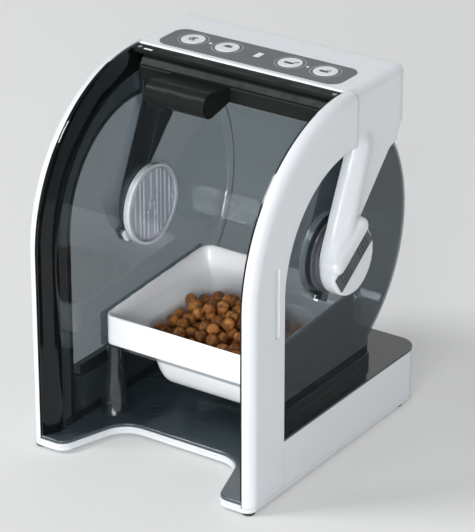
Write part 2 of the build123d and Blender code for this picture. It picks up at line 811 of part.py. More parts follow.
def status_lights():
    return Compound(children=[
        post(light_radius, x, button_y, board_top, top_z + label_thickness + 0.2)
        for x in (-light_x, light_x)])


def battery_window():
    return block(-window_width / 2, window_width / 2, button_y - window_depth / 2,
                 button_y + window_depth / 2, board_top, top_z + label_thickness + 0.1)


# ---------------------------------------------------------------- barrier and hubs

def wedge(radius):
    """Side view of the barrier: a sector about the cross axis."""
    half = barrier_half_angle
    return make_face([
        Line((hub_y, hub_z), around_hub(radius, half)),
        CenterArc((hub_y, hub_z), radius, -half, 2 * half),
        Line((hub_y, hub_z), around_hub(radius, -half))])


def clear_barrier():
    shell = side_plate(wedge(barrier_radius), -barrier_half_width, barrier_half_width)
    rim = [e for e in shell.edges()
           if e.geom_type == GeomType.CIRCLE and abs(abs(e.center().X) - barrier_half_width) < 0.01]
    shell = fillet(rim, barrier_rim_round)
    inner = side_plate(wedge(barrier_radius - barrier_wall), -barrier_half_width + barrier_wall,
                       barrier_half_width - barrier_wall)
    rim = [e for e in inner.edges() if e.geom_type == GeomType.CIRCLE
           and abs(abs(e.center().X) - barrier_half_width + barrier_wall) < 0.01]
    inner = fillet(rim, barrier_rim_round - barrier_wall)
    shell -= inner
    inner_x = barrier_half_width - barrier_wall
    for side in both_sides(cross_cylinder(barrier_hub_radius, inner_x, barrier_half_width)):
        shell += side
    shell -= cross_cylinder(ring_radius + fit_gap, -half_width, half_width)
    y, z = around_hub(barrier_radius - barrier_wall - 0.6, -4)
    return shell + Pos(0, y, z) * Box(2 * inner_x, 1.8, 1.6)


def hub_ring():
    """White ring and boss that carry one side of the barrier in its bush."""
    back = barrier_half_width + 0.4
    ring = cross_ring(ring_radius, ring_radius - ring_wall, ring_inner_x, back + 2)
    ring += cross_cylinder(ring_radius, back, back + 2)
    ring += cross_cylinder(boss_radius, back, boss_end_x)
    return ring - cross_cylinder(boss_radius - 3, back + 2, boss_end_x + 1)


def hub_disc():
    """Clear face of the hub with ribs behind it."""
    outer = ring_radius - ring_wall - face_gap
    back = barrier_half_width + 0.3
    disc = cross_cylinder(outer, disc_face_x, disc_face_x + disc_rib)
    ribs = cross_ring(outer, outer - disc_rib, disc_face_x, back - 1)
    ribs += cross_ring(disc_inner_ring, disc_inner_ring - disc_rib, disc_face_x, back - 1)
    for turn in range(disc_bars):
        angle = (turn + 0.5) * 180 / disc_bars
        place = Pos((disc_face_x + back) / 2, hub_y, hub_z) * Rot(angle, 0, 0)
        bar = place * Box(back - disc_face_x, 2 * outer - 1, disc_rib)
        ribs += bar & cross_cylinder(outer - slide_gap, disc_face_x, back)
    return disc + ribs


tab_angles = {"right": -122.5, "left": -150.5}
tab_width = 12.0
tab_inner_radius = 40.7
tab_outer_radius = 43.7
tab_grip_radius = 36.5
tab_travel = 2.0
tab_end_x = panel_x + 7.0
tab_start_x = barrier_half_width + 0.7


def tab_block(side, low, high, width, x_start, x_end):
    """A block between two radii under the hub, at the tab's angle, on the left or the right."""
    angle = tab_angles[side]
    y, z = around_hub((low + high) / 2, angle)
    box = Pos((x_start + x_end) / 2, y, z) * Rot(angle, 0, 0) * Box(x_end - x_start, high - low, width)
    return left(box) if side == "left" else box


def release_tab(side):
    """Catch that slides outwards through the side panel to let the barrier's ring go."""
    return (tab_block(side, tab_inner_radius, tab_outer_radius, tab_width, tab_start_x, tab_end_x)
            + tab_block(side, tab_grip_radius, tab_outer_radius, tab_width, panel_x + 3.0, tab_end_x))


def tab_slot(side):
    """Slot in the side panel that the catch slides in."""
    return tab_block(side, tab_inner_radius - fit_gap, tab_outer_radius + tab_travel + fit_gap,
                     tab_width + 2 * fit_gap, panel_inner_x - 1, panel_x + 1)


# ---------------------------------------------------------------- drive

def gear_outline(teeth, phase):
    """A gear's outline with simple straight-sided teeth, one of them centred on the phase angle."""
    pitch = gear_module * teeth / 2
    root = pitch - 1.05 * gear_module
    tip = pitch + 0.75 * gear_module
    step = 360 / teeth
    points = []
    for tooth in range(teeth):
        middle = phase + tooth * step
        for radius, share in ((root, -0.27), (tip, -0.11), (tip, 0.11), (root, 0.27)):
            angle = math.radians(middle + share * step)
            points.append((radius * math.cos(angle), radius * math.sin(angle)))
    return polygon(*points)


def direction(start, end):
    return math.degrees(math.atan2(end[1] - start[1], end[0] - start[0]))


centre_slack = 0.1
stage_one = gear_module * (hub_teeth + small_teeth) / 2 + centre_slack
stage_two = gear_module * (big_teeth + pinion_teeth) / 2 + centre_slack
motor_angle = 90 + band_angle
motor_centre = (hub_y + thumb_offset * math.cos(math.radians(motor_angle)),
                hub_z + thumb_offset * math.sin(math.radians(motor_angle)))
stage_swing = math.degrees(math.acos(
    (stage_one ** 2 + thumb_offset ** 2 - stage_two ** 2) / (2 * stage_one * thumb_offset)))
reduction_centre = around_hub(stage_one, motor_angle - stage_swing)
gear_start = boss_end_x + fit_gap
big_start = gear_start + layer_thickness + 0.2
big_end = big_start + big_thickness
motor_start = big_end + 2 * slide_gap


def drive_gear():
    face = Pos(hub_y, hub_z) * gear_outline(hub_teeth, direction((hub_y, hub_z), reduction_centre))
    return left(side_plate(face, gear_start, gear_start + layer_thickness))


def reduction_gear():
    to_hub = direction(reduction_centre, (hub_y, hub_z))
    to_motor = direction(reduction_centre, motor_centre)
    small = Pos(*reduction_centre) * gear_outline(small_teeth, to_hub + 180 / small_teeth)
    big = Pos(*reduction_centre) * gear_outline(big_teeth, to_motor)
    gear = side_plate(small, gear_start, big_start) + side_plate(big, big_start, big_end)
    return left(gear - cross_cylinder(axle_radius + fit_gap, gear_start - 1, big_end + 1, *reduction_centre))


def motor_pinion():
    to_big = direction(motor_centre, reduction_centre)
    face = Pos(*motor_centre) * gear_outline(pinion_teeth, to_big + 180 / pinion_teeth)
    gear = side_plate(face, big_start, big_end)
    return left(gear - cross_cylinder(shaft_radius + fit_gap, big_start - 1, big_end + 1, *motor_centre))


def gear_axle():
    """Fixed pin of the reduction gear, out of the pod's back wall."""
    start = cheek_inner_x + pod_back_wall
    pin = cross_cylinder(axle_radius, start, big_end + 0.5, *reduction_centre)
    return left(pin)


def drive_motor():
    body = cross_cylinder(motor_radius, motor_start, motor_start + motor_length, *motor_centre)
    shaft = cross_cylinder(shaft_radius, big_start, motor_start, *motor_centre)
    return left(body + shaft)


# ---------------------------------------------------------------- bowl and cradle

def rounded(width, depth, radius, y=None):
    """A rounded rectangle in plan, centred on the bowl unless another place is given."""
    middle = (bowl_front_y + bowl_rear_y) / 2 if y is None else y
    return Pos(0, middle) * RectangleRounded(width, depth, radius)


def bowl_limits():
    """The bowl's outer limits: round corners in plan, under a rim that slopes up to the rear."""
    under_rim = side_plate(polygon((bowl_front_y, 0), (bowl_front_y, bowl_front_rim),
                                   (bowl_rear_y, bowl_rear_rim), (bowl_rear_y, 0)),
                           -bowl_half_width, bowl_half_width)
    depth = bowl_rear_y - bowl_front_y
    return under_rim & flat_plate(rounded(2 * bowl_half_width, depth, bowl_corner), 0, 2 * bowl_rear_rim)


def level_loop(solid, z):
    """The edges that lie at one height."""
    return [e for e in solid.edges()
            if abs(e.bounding_box().min.Z - z) < 0.01 and abs(e.bounding_box().max.Z - z) < 0.01]


def bowl_form(grow):
    """The bowl's hollow from above the rim to its floor, or its outer skin when grown by the wall."""
    depth = bowl_rear_y - bowl_front_y
    faces = []
    for number, (inset, corner, z) in enumerate(bowl_sections):
        face = rounded(2 * (bowl_half_width - inset + grow), depth - 2 * (inset - grow), corner + grow)
        faces.append(Pos(0, 0, z - (grow if number else 0)) * face)
    form = loft(faces, ruled=True)
    for number, radius in ((4, basin_round + grow), (3, shelf_round - grow), (1, rim_round - grow)):
        form = fillet(level_loop(form, bowl_sections[number][2] - grow), radius)
    return form


def food_bowl():
    limits = bowl_limits()
    depth = bowl_rear_y - bowl_front_y
    skirt = limits & block(-half_width, half_width, body_front_y, rear_y, bowl_bottom_of_skirt, top_z)
    skirt -= flat_plate(rounded(2 * (bowl_half_width - bowl_wall), depth - 2 * bowl_wall,
                                bowl_corner - bowl_wall), 0, 2 * bowl_rear_rim)
    return skirt + (bowl_form(bowl_wall) & limits) - bowl_form(0)


def bowl_cradle():
    """Open-fronted tray with four flared columns that holds the bowl off the floor."""
    inner_x = bowl_half_width + cradle_gap
    outer_x = inner_x + cradle_wall
    low = bowl_bottom_of_skirt - face_gap - cradle_plate
    plate_top = low + cradle_plate
    front = bowl_front_y + 2.0
    rear = bowl_rear_y - 2.0
    rim_drop = 1.5
    limits = side_plate(polygon((front, low), (front, bowl_front_rim - rim_drop),
                                (rear, bowl_rear_rim - rim_drop), (rear, low)), -outer_x, outer_x)
    room = block(-inner_x, inner_x, front - 1, rear + 1, plate_top, top_z)
    hole = flat_plate(rounded(2 * (bowl_half_width - cradle_ledge), bowl_rear_y - bowl_front_y
                              - 2 * cradle_ledge, cradle_hole_corner), low - 1, top_z)
    cradle = limits - room - hole
    for y in column_y:
        waist_z = liner_top + column_foot_height
        foot = Pos(0, 0, liner_top) * Circle(column_foot_radius)
        waist = Pos(0, 0, waist_z) * Circle(column_top_radius)
        column = loft([foot, waist]) + post(column_top_radius, 0, 0, waist_z, low + 1)
        for side in (-1, 1):
            cradle += Pos(side * column_x, y, 0) * column
    return cradle


# ---------------------------------------------------------------- batteries

tray_half_width = half_width - tray_side_room
cell_y = bay_front_y + tray_wall + cell_radius + 3.0
cell_z = floor_z + tray_wall + cell_radius + face_gap


def battery_tray():
    rear = rear_y - shell_wall - 0.6
    top = floor_z + tray_height
    tray = block(-tray_half_width, tray_half_width, bay_front_y + face_gap, rear, floor_z + fit_gap, top)
    return tray - block(-tray_half_width + tray_wall, tray_half_width - tray_wall,
                        bay_front_y + tray_wall, rear + 1, floor_z + tray_wall, top + 1)


def battery_cells():
    return Compound(children=[
        cross_cylinder(cell_radius, cell_length * (n - 2) + 0.2, cell_length * (n - 1) - 0.2, cell_y, cell_z)
        for n in range(4)])


def battery_contacts():
    far = tray_half_width - tray_wall
    plate = Pos(far - contact_thickness / 2 - fit_gap, cell_y, cell_z) * Box(
        contact_thickness, contact_size, contact_size)
    stud = cross_cylinder(contact_size / 4, 2 * cell_length, far - contact_thickness, cell_y, cell_z)
    right, mirrored = both_sides(plate + stud)
    return Compound(children=[right, mirrored])


def battery_door():
    gap = slide_gap
    return block(-door_half_width + gap, door_half_width - gap, rear_y - shell_wall, rear_y,
                 door_bottom + gap, door_top - gap)


# ---------------------------------------------------------------- write the pieces

right_panel, left_panel, rear_guard = tunnel_panels()
limb_pair = both_sides(right_limb())
trim_pair = both_sides(right_trim())
cover_pair = both_sides(pod_cover())
grille_pair = both_sides(pod_grille())
bush_pair = both_sides(hub_bush())
ring_pair = both_sides(hub_ring())
disc_pair = both_sides(hub_disc())

nodes = {
    "base_shell": base_shell(),
    "base_plate": base_plate(),
    "rubber_feet": rubber_feet(),
    "base_screws": base_screws(),
    "floor_liner": floor_liner(),
    "liner_screws": liner_screws(),
    "top_plate": top_plate(),
    "right_limb": limb_pair[0],
    "left_limb": limb_pair[1],
    "right_tunnel_trim": trim_pair[0],
    "left_tunnel_trim": trim_pair[1],
    "right_side_panel": right_panel,
    "left_side_panel": left_panel,
    "rear_guard": rear_guard,
    "top_housing": top_housing(),
    "right_pod_cover": cover_pair[0],
    "left_pod_cover": cover_pair[1],
    "right_pod_grille": grille_pair[0],
    "left_pod_grille": grille_pair[1],
    "right_hub_bush": bush_pair[0],
    "left_hub_bush": bush_pair[1],
    "ceiling_cover": ceiling_cover(),
    "ceiling_screws": ceiling_screws(),
    "sensor_window": sensor_window(),
    "antenna_core": antenna_core(),
    "antenna_winding": antenna_winding(),
    "control_label": control_label(),
    "main_board": main_board(),
    "button_switches": button_switches(),
    "status_lights": status_lights(),
    "battery_window": battery_window(),
    "clear_barrier": clear_barrier(),
    "right_hub_ring": ring_pair[0],
    "left_hub_ring": ring_pair[1],
    "right_hub_disc": disc_pair[0],
    "left_hub_disc": disc_pair[1],
    "right_release_tab": release_tab("right"),
    "left_release_tab": release_tab("left"),
    "drive_gear": drive_gear(),
    "reduction_gear": reduction_gear(),
    "motor_pinion": motor_pinion(),
    "gear_axle": gear_axle(),
    "drive_motor": drive_motor(),
    "food_bowl": food_bowl(),
    "bowl_cradle": bowl_cradle(),
    "battery_tray": battery_tray(),
    "battery_cells": battery_cells(),
    "battery_contacts": battery_contacts(),
    "battery_door": battery_door(),
}
for number, x in enumerate(button_x, start=1):
    nodes[f"push_button_{number}"] = push_button(x)

os.makedirs("parts", exist_ok=True)
for name, shape in nodes.items():
    export_step(shape, os.path.join("parts", name + ".step"))
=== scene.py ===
import json
import math

import bmesh
import bpy
import numpy as np
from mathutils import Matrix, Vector


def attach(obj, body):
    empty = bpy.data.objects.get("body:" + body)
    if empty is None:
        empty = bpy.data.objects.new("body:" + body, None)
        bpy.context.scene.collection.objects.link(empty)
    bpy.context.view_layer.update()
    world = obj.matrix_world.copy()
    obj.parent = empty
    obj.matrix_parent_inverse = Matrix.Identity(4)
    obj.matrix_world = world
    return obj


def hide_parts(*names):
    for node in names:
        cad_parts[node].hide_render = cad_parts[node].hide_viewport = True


# The looks of the pet feeder: plastics, lamps, food and studio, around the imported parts.
# The scene is in metres, in the parts' own frame: +X right, +Y rear, +Z up, origin on the floor.
# Shapes are worked out in millimetres, materials and the studio in metres.

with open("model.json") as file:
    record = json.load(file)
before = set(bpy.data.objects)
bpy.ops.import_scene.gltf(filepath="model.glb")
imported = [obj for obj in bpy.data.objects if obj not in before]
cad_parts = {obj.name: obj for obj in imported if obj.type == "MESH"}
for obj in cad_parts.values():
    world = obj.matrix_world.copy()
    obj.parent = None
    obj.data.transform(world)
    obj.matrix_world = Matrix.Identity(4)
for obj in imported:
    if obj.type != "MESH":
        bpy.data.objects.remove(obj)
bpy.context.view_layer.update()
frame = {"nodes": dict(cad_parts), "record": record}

MM = 1 / 1000
HUB_Y, HUB_Z = 13.0, 197.0  # the axis on which the barrier turns
BUTTON_X = (-73.5, -35.0, 35.0, 73.5)
BUTTON_Y = 49.0
ARM_INSIDE = 112.8  # from the middle to the inner face of an arm
LIMB_INSIDE = 114.2  # from the middle to the inner face of a limb


# ---------------------------------------------------------------- tools for materials

class Wire:
    """A value inside a material. Sums of wires make the nodes for those sums."""

    def __init__(self, shade, socket):
        self.shade = shade
        self.socket = socket

    def maths(self, operation, other=0.0):
        return self.shade.node("ShaderNodeMath", {0: self, 1: other}, operation=operation)

    def __add__(self, other):
        return self.maths("ADD", other)

    def __sub__(self, other):
        return self.maths("SUBTRACT", other)

    def __rsub__(self, other):
        return self.shade.node("ShaderNodeMath", {0: other, 1: self}, operation="SUBTRACT")

    def __mul__(self, other):
        return self.maths("MULTIPLY", other)

    __radd__ = __add__
    __rmul__ = __mul__

    def unsigned(self):
        return self.maths("ABSOLUTE")

    def above(self, level):
        return self.maths("GREATER_THAN", level)

    def below(self, level):
        return self.maths("LESS_THAN", level)

    def step(self, low, high):
        """0 below low, 1 above high, a soft change between."""
        return self.shade.node("ShaderNodeMapRange", {"Value": self, "From Min": low, "From Max": high},
                               interpolation_type="SMOOTHSTEP")

    def scaled(self, low, high):
        """0..1 turned into low..high."""
        return self * (high - low) + low


class Shade:
    """A material while it is made."""

    def __init__(self, name):
        self.material = bpy.data.materials.new(name)
        self.material.use_nodes = True
        self.tree = self.material.node_tree
        self.tree.nodes.clear()

    def plug(self, value, target):
        if isinstance(value, Wire):
            self.tree.links.new(value.socket, target)
        else:
            target.default_value = value

    def node(self, kind, inputs=None, out=0, **settings):
        made = self.tree.nodes.new(kind)
        for name, value in settings.items():
            setattr(made, name, value)
        for name, value in (inputs or {}).items():
            self.plug(value, made.inputs[name])
        return Wire(self, made.outputs[out])

    def place(self):
        return self.node("ShaderNodeTexCoord", out="Object")

    def xyz(self):
        spot = self.place()
        return [self.node("ShaderNodeSeparateXYZ", {0: spot}, out=axis) for axis in "XYZ"]

    def noise(self, scale, detail=2.0, roughness=0.5):
        return self.node("ShaderNodeTexNoise", {
            "Vector": self.place(), "Scale": scale, "Detail": detail, "Roughness": roughness}, out="Fac")

    def blend(self, amount, first, second):
        """Between two colours."""
        return self.node("ShaderNodeMix", {0: amount, 6: first, 7: second}, out=2, data_type="RGBA")

    def bump(self, height, strength, distance, **more):
        return self.node("ShaderNodeBump", {
            "Height": height, "Strength": strength, "Distance": distance, **more})

    def rounded(self, radius, normal):
        return self.node("ShaderNodeBevel", {"Radius": radius, "Normal": normal}, samples=4)

    def finish(self, surface):
        output = self.tree.nodes.new("ShaderNodeOutputMaterial")
        self.tree.links.new(surface.socket, output.inputs["Surface"])
        return self.material


def rgba(red, green, blue):
    return (red, green, blue, 1.0)


# ---------------------------------------------------------------- moulded plastics

WHITE = (0.73, 0.755, 0.785)
WHITE_ROUGH = 0.24
# black of the release tabs' outer ends, also used as painted shade on the inner faces of the arms and limbs
TAB_TIP_AND_PAINTED_SHADE = (0.02, 0.022, 0.024)
PAINTED_SHADE_REAR = 0.11  # behind this no shade is painted on the inner faces; the housing is white inside there too
SLATE = (0.105, 0.118, 0.128)
RING_PRINT = (0.42, 0.45, 0.46)
RING_RADIUS, RING_HALF_WIDTH = 0.01475, 0.0003


def moulded_base(shade, colour, tint=0.97):
    """A colour with a faint cloudy variation, and the cloud itself."""
    cloud = shade.noise(22.0, 3.0)
    return shade.blend(cloud, rgba(*(c * tint for c in colour)), rgba(*colour)), cloud


def moulded_body(shade, colour, cloud, rough, edge=0.0, grain=0.15, coat=0.0, ripple=0.0, shine=0.5):
    """Moulded plastic: fine grain, softly rounded edges and, where asked, a slow ripple in the gloss."""
    normal = shade.bump(shade.noise(900.0, 1.0), grain, 0.00005)
    if ripple:
        normal = shade.bump(shade.noise(26.0, 1.5), ripple, 0.004, Normal=normal)
    if edge:
        normal = shade.rounded(edge, normal)
    return shade.node("ShaderNodeBsdfPrincipled", {
        "Base Color": colour,
        "Roughness": cloud.scaled(rough * 0.9, rough * 1.1),
        "Normal": normal,
        "Coat Weight": coat,
        "Coat Roughness": 0.05,
        "Specular IOR Level": shine,
        "IOR": 1.5})


def plastic(name, colour, rough, **finish):
    shade = Shade(name)
    base, cloud = moulded_base(shade, colour)
    return shade.finish(moulded_body(shade, base, cloud, rough, **finish))


def white_with_painted_shade(name, inner_x, shade_top):
    """White outside, with black painted shade on the inner faces of the arms and limbs."""
    shade = Shade(name)
    base, cloud = moulded_base(shade, WHITE)
    x, y, z = shade.xyz()
    off_middle = x.unsigned()
    inner_face = off_middle.above(inner_x - 0.002) * off_middle.below(inner_x + 0.0004)
    # painted shade: the inner faces of the arms and limbs are coloured black below a height and in front of
    # the rear, where those faces lie in shade
    painted_shade = inner_face * z.below(shade_top) * y.below(PAINTED_SHADE_REAR)
    colour = shade.blend(painted_shade, base, rgba(*TAB_TIP_AND_PAINTED_SHADE))
    return shade.finish(moulded_body(shade, colour, cloud, WHITE_ROUGH, edge=0.0012, coat=0.3))


def tipped_white(name, tip_x):
    """White with a dark outer end, as on the release tabs."""
    shade = Shade(name)
    base, cloud = moulded_base(shade, WHITE)
    x, y, z = shade.xyz()
    colour = shade.blend(x.unsigned().above(tip_x), base, rgba(*TAB_TIP_AND_PAINTED_SHADE))
    return shade.finish(moulded_body(shade, colour, cloud, WHITE_ROUGH, edge=0.0006))


def printed_label(name):
    """Slate panel with a thin pale ring printed round each button."""
    shade = Shade(name)
    base, cloud = moulded_base(shade, SLATE, 0.95)
    x, y, z = shade.xyz()
    rings = 0.0
    for button in BUTTON_X:
        dx = x - button * MM
        dy = y - BUTTON_Y * MM
        off_ring = (dx * dx + dy * dy).maths("SQRT") - RING_RADIUS
        rings = off_ring.unsigned().below(RING_HALF_WIDTH) + rings
    colour = shade.blend(rings, base, rgba(*RING_PRINT))
    return shade.finish(moulded_body(shade, colour, cloud, 0.42, grain=0.3))


# ---------------------------------------------------------------- see-through plastics, and food

def clear_plastic(name, tint, film, film_colour, gloss=0.04, ior=1.45, ripple=0.05):
    """Thin see-through plastic: tinted, glossy on its outside, with a faint milky film."""
    shade = Shade(name)
    smear = shade.noise(14.0, 3.0)
    see_through = shade.node("ShaderNodeBsdfTransparent", {"Color": rgba(*tint)})
    glossy = shade.node("ShaderNodeBsdfAnisotropic", {
        "Color": rgba(0.9, 0.92, 0.95),
        "Roughness": gloss,
        "Normal": shade.bump(smear, ripple, 0.0006)})
    seen_from_inside = shade.node("ShaderNodeNewGeometry", out="Backfacing")
    shine = shade.node("ShaderNodeFresnel", {"IOR": ior}) * (1.0 - seen_from_inside)
    clean = shade.node("ShaderNodeMixShader", {0: shine, 1: see_through, 2: glossy})
    haze = shade.node("ShaderNodeBsdfDiffuse", {"Color": rgba(*film_colour)})
    share = smear.scaled(film * 0.7, film * 1.3)
    return shade.finish(shade.node("ShaderNodeMixShader", {0: share, 1: clean, 2: haze}))


def kibble_crust(name):
    """Baked food: brown to orange, rough, with small pits."""
    shade = Shade(name)
    patch = shade.noise(120.0, 4.0, 0.6)
    pits = shade.noise(420.0, 3.0, 0.7)
    dark, baked, crumb = rgba(0.15, 0.045, 0.008), rgba(0.56, 0.225, 0.045), rgba(0.66, 0.33, 0.10)
    colour = shade.blend(patch.step(0.35, 0.65), dark, baked)
    colour = shade.blend(pits.step(0.55, 0.75) * 0.6, colour, crumb)
    return shade.finish(shade.node("ShaderNodeBsdfPrincipled", {
        "Base Color": colour,
        "Roughness": 0.55,
        "Normal": shade.bump(pits, 0.9, 0.002)}))


# ---------------------------------------------------------------- which part wears what

white = plastic("white gloss plastic", WHITE, WHITE_ROUGH, edge=0.0012, coat=0.3)
# limbs and arms: white, with painted shade on their inner faces
limb_white = white_with_painted_shade("limb white", LIMB_INSIDE * MM, 0.352)
arm_white = white_with_painted_shade("arm white", ARM_INSIDE * MM, 0.335)
bowl_white = plastic("bowl white", (0.90, 0.91, 0.93), 0.26, edge=0.0012, coat=0.3)
tab_white = tipped_white("tab white", 0.1062)
button_white = plastic("button white", (0.74, 0.76, 0.76), 0.3, edge=0.0006)
black = plastic("black gloss plastic", (0.018, 0.02, 0.022), 0.12, edge=0.0008, coat=0.5)
ceiling_black = plastic("rippled gloss black", (0.014, 0.016, 0.015), 0.32, edge=0.001, ripple=1.0,
                        shine=0.06)
floor_black = plastic("floor gloss black", (0.044, 0.062, 0.072), 0.14, edge=0.0012, coat=0.5, ripple=0.4)
dark_satin = plastic("dark satin plastic", (0.055, 0.06, 0.065), 0.4, grain=0.3)
rubber = plastic("foot rubber", (0.02, 0.02, 0.02), 0.8, grain=0.5)
steel = plastic("screw steel", (0.35, 0.35, 0.36), 0.35)
nylon = plastic("gear nylon", (0.75, 0.72, 0.62), 0.45)
lamp = plastic("lamp plastic", (0.8, 0.85, 0.82), 0.3)
label_slate = printed_label("printed slate label")
icon_ink = plastic("icon ink", (0.05, 0.055, 0.06), 0.5)
smoke = clear_plastic("smoke plastic", (0.49, 0.525, 0.54), 0.09, (0.11, 0.12, 0.13))
flare_smoke = clear_plastic("dark smoke flare", (0.17, 0.2, 0.205), 0.1, (0.03, 0.034, 0.036), ripple=0.4)
clear = clear_plastic("clear plastic", (0.95, 0.965, 0.965), 0.015, (0.7, 0.75, 0.8))
milky_clear = clear_plastic("milky clear plastic", (0.93, 0.94, 0.96), 0.12, (0.80, 0.81, 0.86),
                            gloss=0.05, ripple=0.5)
# painted highlight: the real clear bars get a heavy near-white film that stands in for the bright streaks
# light makes on them
bars_with_painted_highlight = clear_plastic("bright clear bars", (0.80, 0.81, 0.84), 0.85, (0.93, 0.94, 0.98),
                            gloss=0.08, ripple=0.3)
cradle_smoke = clear_plastic("cradle smoke", (0.66, 0.70, 0.72), 0.05, (0.2, 0.23, 0.25),
                             gloss=0.03, ior=1.8, ripple=0.5)
bush_clear = clear_plastic("smoky clear bush", (0.6, 0.62, 0.65), 0.5, (0.24, 0.255, 0.28),
                           gloss=0.06, ripple=0.4)
crust = kibble_crust("kibble crust")

looks = {
    "white": white, "smoke": smoke, "clear": clear, "black": black, "slate": label_slate,
    "dark_satin": dark_satin, "rubber": rubber, "steel": steel, "nylon": nylon, "lamp": lamp,
    "board": dark_satin, "ferrite": dark_satin, "copper": steel, "cell": dark_satin}
own_looks = {"bowl_cradle": cradle_smoke, "ceiling_cover": ceiling_black, "floor_liner": floor_black}
for side in ("right", "left"):
    own_looks[f"{side}_tunnel_trim"] = flare_smoke
    own_looks[f"{side}_release_tab"] = tab_white
    own_looks[f"{side}_limb"] = limb_white
    own_looks[f"{side}_hub_bush"] = bush_clear
for number in range(1, len(BUTTON_X) + 1):
    own_looks[f"push_button_{number}"] = button_white
slot_of = {part["node"]: part["material_slot"] for part in frame["record"]["subparts"]}
for name, node in frame["nodes"].items():
    node.data.materials.clear()
    node.data.materials.append(own_looks.get(name, looks[slot_of[name]]))


# ---------------------------------------------------------------- tools for shapes
# A field is the distance from each place to a shape's surface, negative inside the shape.

def both(first, *others):
    """Where all the shapes are."""
    for other in others:
        first = np.maximum(first, other)
    return first


def either(first, *others):
    """Where any of the shapes is."""
    for other in others:
        first = np.minimum(first, other)
    return first


def cut_round(first, second, radius):
    """Where both shapes are, with a round outer edge."""
    corner = np.hypot(np.maximum(first + radius, 0), np.maximum(second + radius, 0))
    return np.minimum(np.maximum(first, second), -radius) + corner


def join_round(first, second, radius):
    """Either shape, with a round inner corner between them."""
    corner = np.hypot(np.maximum(radius - first, 0), np.maximum(radius - second, 0))
    return np.maximum(np.minimum(first, second), radius) - corner


def slab(value, low, high):
    return np.abs(value - (low + high) / 2) - (high - low) / 2


def block(x, y, z, low, high):
    return both(slab(x, low[0], high[0]), slab(y, low[1], high[1]), slab(z, low[2], high[2]))


def polygon_distance(u, v, corners):
    """Distance to an outline in a plane, negative inside."""
    u, v = np.broadcast_arrays(u, v)
    nearest = np.full(u.shape, np.inf)
    winding = np.ones(u.shape)
    for (au, av), (bu, bv) in zip(corners, corners[1:] + corners[:1]):
        eu, ev = bu - au, bv - av
        along = np.clip(((u - au) * eu + (v - av) * ev) / (eu * eu + ev * ev), 0, 1)
        nearest = np.minimum(nearest, np.hypot(u - au - along * eu, v - av - along * ev))
        above, below = v >= av, v < bv
        left = eu * (v - av) > ev * (u - au)
        flips = (above & below & left) | (~above & ~below & ~left)
        winding = np.where(flips, -winding, winding)
    return winding * nearest


def tapered_rod(x, y, z, start, end, start_radius, end_radius):
    start, end = np.array(start, float), np.array(end, float)
    span = end - start
    dx, dy, dz = x - start[0], y - start[1], z - start[2]
    along = np.clip((dx * span[0] + dy * span[1] + dz * span[2]) / span.dot(span), 0, 1)
    off = np.sqrt((dx - along * span[0]) ** 2 + (dy - along * span[1]) ** 2 + (dz - along * span[2]) ** 2)
    return off - (start_radius + (end_radius - start_radius) * along)


def surface(field, low, high, cell):
    """Points and four-sided faces of the surface where a field is zero.

    The space from low to high is filled with cubic cells. Each cell that the surface passes gets a
    point, at the mean of the places where the surface crosses the cell's edges. Each crossed edge gets
    a face between the four cells round it.
    """
    counts = [int(math.ceil((h - l) / cell)) + 1 for l, h in zip(low, high)]
    axes = [l + cell * np.arange(n) for l, n in zip(low, counts)]
    values = field(*np.meshgrid(*axes, indexing="ij", sparse=True))
    values = np.broadcast_to(values, counts).astype(float)
    cells = tuple(n - 1 for n in counts)
    place, hits = np.zeros(cells + (3,)), np.zeros(cells)
    crossings = []
    for axis in range(3):
        start, end = np.delete(values, -1, axis), np.delete(values, 0, axis)
        crossed = (start < 0) != (end < 0)
        along = np.where(crossed, start / np.where(crossed, start - end, 1.0), 0.0)
        crossings.append((crossed, start < 0))
        one, two = [a for a in range(3) if a != axis]
        for step_one in (0, 1):
            for step_two in (0, 1):
                part = [slice(None)] * 3
                part[one] = slice(step_one, step_one + cells[one])
                part[two] = slice(step_two, step_two + cells[two])
                here = crossed[tuple(part)]
                hits += here
                place[..., axis] += np.where(here, along[tuple(part)], 0)
                place[..., one] += here * step_one
                place[..., two] += here * step_two
    active = hits > 0
    index = np.full(cells, -1)
    index[active] = np.arange(active.sum())
    points = (np.argwhere(active) + place[active] / hits[active][:, None]) * cell + np.array(low)
    faces = []
    for axis, (crossed, negative) in enumerate(crossings):
        one, two = (axis + 1) % 3, (axis + 2) % 3
        spot = np.argwhere(crossed)
        inner = (spot[:, one] > 0) & (spot[:, two] > 0)
        spot = spot[inner & (spot[:, one] < cells[one]) & (spot[:, two] < cells[two])]
        corners = []
        for step_one, step_two in ((-1, -1), (0, -1), (0, 0), (-1, 0)):
            near = spot.copy()
            near[:, one] += step_one
            near[:, two] += step_two
            corners.append(index[near[:, 0], near[:, 1], near[:, 2]])
        quads = np.stack(corners, 1)
        turned = ~negative[spot[:, 0], spot[:, 1], spot[:, 2]]
        quads[turned] = quads[turned][:, ::-1]
        faces.append(quads)
    return points, np.concatenate(faces)


def mirrored(points, faces):
    """The twin of a mesh on the other side of the middle."""
    return points * np.array([-1.0, 1.0, 1.0]), faces[:, ::-1]


def mesh_object(name, points, faces, material):
    mesh = bpy.data.meshes.new(name)
    mesh.from_pydata(points, [], faces)
    mesh.materials.append(material)
    mesh.update()
    made = bpy.data.objects.new(name, mesh)
    bpy.context.scene.collection.objects.link(made)
    return made


def shade_smooth(made):
    made.data.polygons.foreach_set("use_smooth", [True] * len(made.data.polygons))


def piece(name, mesh_data, material, body, slot, *stands_for):
    """A smooth piece of the feeder, from points in millimetres."""
    points, faces = mesh_data
    made = mesh_object(name, (points * MM).tolist(), faces.tolist(), material)
    shade_smooth(made)
    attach(made, body)
    if stands_for:
        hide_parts(*stands_for)


# ---------------------------------------------------------------- top housing with its arms and pods

